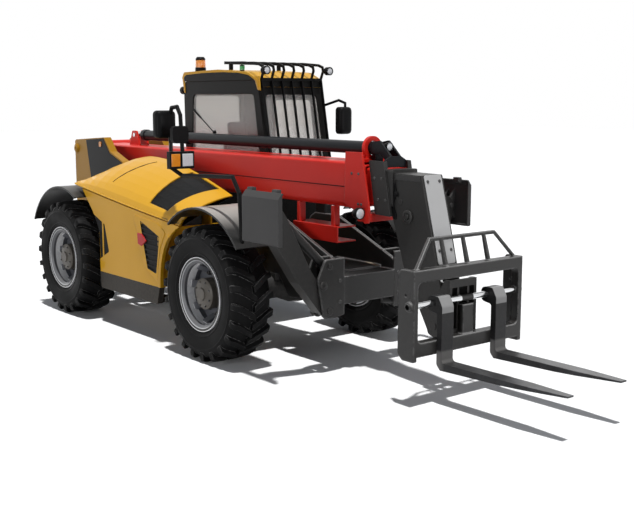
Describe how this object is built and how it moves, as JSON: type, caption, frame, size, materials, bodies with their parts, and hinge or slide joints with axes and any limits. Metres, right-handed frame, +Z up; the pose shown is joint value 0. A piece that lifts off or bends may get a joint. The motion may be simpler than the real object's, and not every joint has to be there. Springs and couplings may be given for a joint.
{
  "type": "telehandler",
  "caption": "Telescopic boom handler with a side cab, steered axles, front stabilisers and a fork carriage on a drop head.",
  "frame": {"origin": "on the ground under the middle of the machine's length and width", "axes": "+X forward along the boom, +Y to the machine's left, +Z up"},
  "size_m": [7.5703, 2.4, 2.876],
  "materials": {
    "yellow_body": "moulded yellow body panels, satin gloss",
    "yellow_steel": "yellow paint on steel",
    "red_steel": "red paint on steel",
    "dark_steel": "charcoal paint on steel",
    "black_plastic": "matt black plastic",
    "cab_trim": "dark cab frame and trim",
    "grey_plastic": "warm grey tank and skirt",
    "rim_silver": "silver paint",
    "tyre_black": "black tyre rubber",
    "rod_chrome": "hard chrome",
    "pane": "tinted glass",
    "iron": "cast iron, brown grey",
    "seat_cloth": "dark seat and trim"
  },
  "bodies": {
    "chassis": {"chassis_frame": "dark_steel", "boom_towers": "yellow_steel", "tow_hitch": "dark_steel", "axles": "iron", "fenders": "black_plastic", "engine": "iron", "hood_side": "yellow_body", "side_boxes": "grey_plastic", "cab_shell": "cab_trim", "cab_roof": "yellow_body", "cab_glass": "pane", "cab_guard": "dark_steel", "cab_interior": "cab_trim", "seat": "seat_cloth", "lamps": "black_plastic", "mirrors": "black_plastic"},
    "hood": {"hood": "yellow_body", "hood_grille": "black_plastic"},
    "door": {"cab_door": "cab_trim", "door_glass": "pane"},
    "boom_outer": {"boom_outer": "red_steel", "extend_rod": "rod_chrome"},
    "boom_mid": {"boom_mid": "red_steel", "extend_barrel": "dark_steel"},
    "boom_inner": {"boom_inner": "red_steel", "boom_head": "dark_steel"},
    "carriage": {"coupler": "dark_steel", "carriage": "dark_steel", "forks": "dark_steel"},
    "lift_barrel": {"lift_barrel": "dark_steel"},
    "lift_rod": {"lift_rod": "rod_chrome"},
    "tilt_barrel": {"tilt_barrel": "dark_steel"},
    "tilt_rod": {"tilt_rod": "rod_chrome"},
    "knuckle_fl": {"knuckle_fl": "iron"},
    "wheel_fl": {"rim_fl": "rim_silver", "tyre_fl": "tyre_black"},
    "knuckle_fr": {"knuckle_fr": "iron"},
    "wheel_fr": {"rim_fr": "rim_silver", "tyre_fr": "tyre_black"},
    "knuckle_rl": {"knuckle_rl": "iron"},
    "wheel_rl": {"rim_rl": "rim_silver", "tyre_rl": "tyre_black"},
    "knuckle_rr": {"knuckle_rr": "iron"},
    "wheel_rr": {"rim_rr": "rim_silver", "tyre_rr": "tyre_black"},
    "stab_arm_l": {"stab_arm_l": "dark_steel"},
    "stab_barrel_l": {"stab_barrel_l": "dark_steel"},
    "stab_rod_l": {"stab_rod_l": "rod_chrome"},
    "stab_pad_l": {"stab_pad_l": "dark_steel"},
    "stab_arm_r": {"stab_arm_r": "dark_steel"},
    "stab_barrel_r": {"stab_barrel_r": "dark_steel"},
    "stab_rod_r": {"stab_rod_r": "rod_chrome"},
    "stab_pad_r": {"stab_pad_r": "dark_steel"}
  },
  "joints": [
    {"name": "steer_fl", "type": "hinge", "parent": "chassis", "child": "knuckle_fl", "pos_m": [0.23, 0.7, 0.635], "axis": [0, 0, 1], "range_deg": [-35, 35]},
    {"name": "spin_fl", "type": "hinge", "parent": "knuckle_fl", "child": "wheel_fl", "pos_m": [0.23, 0.935, 0.635], "axis": [0, 1, 0], "continuous": true},
    {"name": "steer_fr", "type": "hinge", "parent": "chassis", "child": "knuckle_fr", "pos_m": [0.23, -0.7, 0.635], "axis": [0, 0, 1], "range_deg": [-35, 35]},
    {"name": "spin_fr", "type": "hinge", "parent": "knuckle_fr", "child": "wheel_fr", "pos_m": [0.23, -0.935, 0.635], "axis": [0, 1, 0], "continuous": true},
    {"name": "steer_rl", "type": "hinge", "parent": "chassis", "child": "knuckle_rl", "pos_m": [-2.63, 0.7, 0.635], "axis": [0, 0, -1], "range_deg": [-35, 35]},
    {"name": "spin_rl", "type": "hinge", "parent": "knuckle_rl", "child": "wheel_rl", "pos_m": [-2.63, 0.935, 0.635], "axis": [0, 1, 0], "continuous": true},
    {"name": "steer_rr", "type": "hinge", "parent": "chassis", "child": "knuckle_rr", "pos_m": [-2.63, -0.7, 0.635], "axis": [0, 0, -1], "range_deg": [-35, 35]},
    {"name": "spin_rr", "type": "hinge", "parent": "knuckle_rr", "child": "wheel_rr", "pos_m": [-2.63, -0.935, 0.635], "axis": [0, 1, 0], "continuous": true},
    {"name": "boom_lift", "type": "hinge", "parent": "chassis", "child": "boom_outer", "pos_m": [-3.636, 0, 1.804], "axis": [0, -1, 0], "range_deg": [-2, 68]},
    {"name": "boom_extend", "type": "slide", "parent": "boom_outer", "child": "boom_mid", "axis": [1, 0, 0], "range_m": [0, 3.3]},
    {"name": "boom_extend_inner", "type": "slide", "parent": "boom_mid", "child": "boom_inner", "axis": [1, 0, 0], "range_m": [0, 3.3]},
    {"name": "carriage_tilt", "type": "hinge", "parent": "boom_inner", "child": "carriage", "pos_m": [2.27, 0, 0.56], "axis": [0, 1, 0], "range_deg": [-12, 110]},
    {"name": "lift_barrel_swing", "type": "hinge", "parent": "chassis", "child": "lift_barrel", "pos_m": [-3.186, 0, 0.804], "axis": [0, -1, 0], "range_deg": [-3, 55.3]},
    {"name": "lift_rod_slide", "type": "slide", "parent": "lift_barrel", "child": "lift_rod", "axis": [0.9307, 0, 0.3659], "range_m": [-0.05, 1.145]},
    {"name": "tilt_barrel_swing", "type": "hinge", "parent": "boom_inner", "child": "tilt_barrel", "pos_m": [1.83, 0, 1.55], "axis": [0, 1, 0], "range_deg": [-6.8, 1.6]},
    {"name": "tilt_rod_slide", "type": "slide", "parent": "tilt_barrel", "child": "tilt_rod", "axis": [0.4921, 0, -0.8706], "range_m": [-0.058, 0.498]},
    {"name": "stabiliser_l", "type": "hinge", "parent": "chassis", "child": "stab_arm_l", "pos_m": [1.22, 0.466, 0.566], "axis": [-1, 0, 0], "range_deg": [0, 82]},
    {"name": "stab_barrel_swing_l", "type": "hinge", "parent": "chassis", "child": "stab_barrel_l", "pos_m": [1.22, 0.466, 0.965], "axis": [-1, 0, 0], "range_deg": [-1, 83.8]},
    {"name": "stab_rod_slide_l", "type": "slide", "parent": "stab_barrel_l", "child": "stab_rod_l", "axis": [0, 0.7342, 0.679], "range_m": [-0.01, 0.533]},
    {"name": "stab_pad_level_l", "type": "hinge", "parent": "stab_arm_l", "child": "stab_pad_l", "pos_m": [1.22, 1.06, 1.4], "axis": [-1, 0, 0], "range_deg": [-1, 9]},
    {"name": "stabiliser_r", "type": "hinge", "parent": "chassis", "child": "stab_arm_r", "pos_m": [1.22, -0.466, 0.566], "axis": [1, 0, 0], "range_deg": [0, 82]},
    {"name": "stab_barrel_swing_r", "type": "hinge", "parent": "chassis", "child": "stab_barrel_r", "pos_m": [1.22, -0.466, 0.965], "axis": [1, 0, 0], "range_deg": [-1, 83.8]},
    {"name": "stab_rod_slide_r", "type": "slide", "parent": "stab_barrel_r", "child": "stab_rod_r", "axis": [0, -0.7342, 0.679], "range_m": [-0.01, 0.533]},
    {"name": "stab_pad_level_r", "type": "hinge", "parent": "stab_arm_r", "child": "stab_pad_r", "pos_m": [1.22, -1.06, 1.4], "axis": [1, 0, 0], "range_deg": [-1, 9]},
    {"name": "door_swing", "type": "hinge", "parent": "chassis", "child": "door", "pos_m": [-1.672, 1.104, 1.7], "axis": [0, 0, 1], "range_deg": [0, 85]},
    {"name": "hood_swing", "type": "hinge", "parent": "chassis", "child": "hood", "pos_m": [-1.27, -0.43, 1.6], "axis": [-1, 0, 0], "range_deg": [0, 50]}
  ],
  "couplings": [
    {"joint": "steer_fr", "follows": "steer_fl", "ratio": 1},
    {"joint": "steer_rr", "follows": "steer_rl", "ratio": 1},
    {"joint": "boom_extend_inner", "follows": "boom_extend", "ratio": 1},
    {"joint": "lift_barrel_swing", "follows": "boom_lift", "ratio": 0.79839},
    {"joint": "lift_rod_slide", "follows": "boom_lift", "m_per_rad": 0.948},
    {"joint": "tilt_barrel_swing", "follows": "carriage_tilt", "ratio": -0.052504},
    {"joint": "tilt_rod_slide", "follows": "carriage_tilt", "m_per_rad": 0.25409},
    {"joint": "stab_barrel_swing_l", "follows": "stabiliser_l", "ratio": 1.0092},
    {"joint": "stab_rod_slide_l", "follows": "stabiliser_l", "m_per_rad": 0.36571},
    {"joint": "stab_pad_level_l", "follows": "stabiliser_l", "ratio": 0.097561},
    {"joint": "stab_barrel_swing_r", "follows": "stabiliser_r", "ratio": 1.0092},
    {"joint": "stab_rod_slide_r", "follows": "stabiliser_r", "m_per_rad": 0.36571},
    {"joint": "stab_pad_level_r", "follows": "stabiliser_r", "ratio": 0.097561}
  ]
}
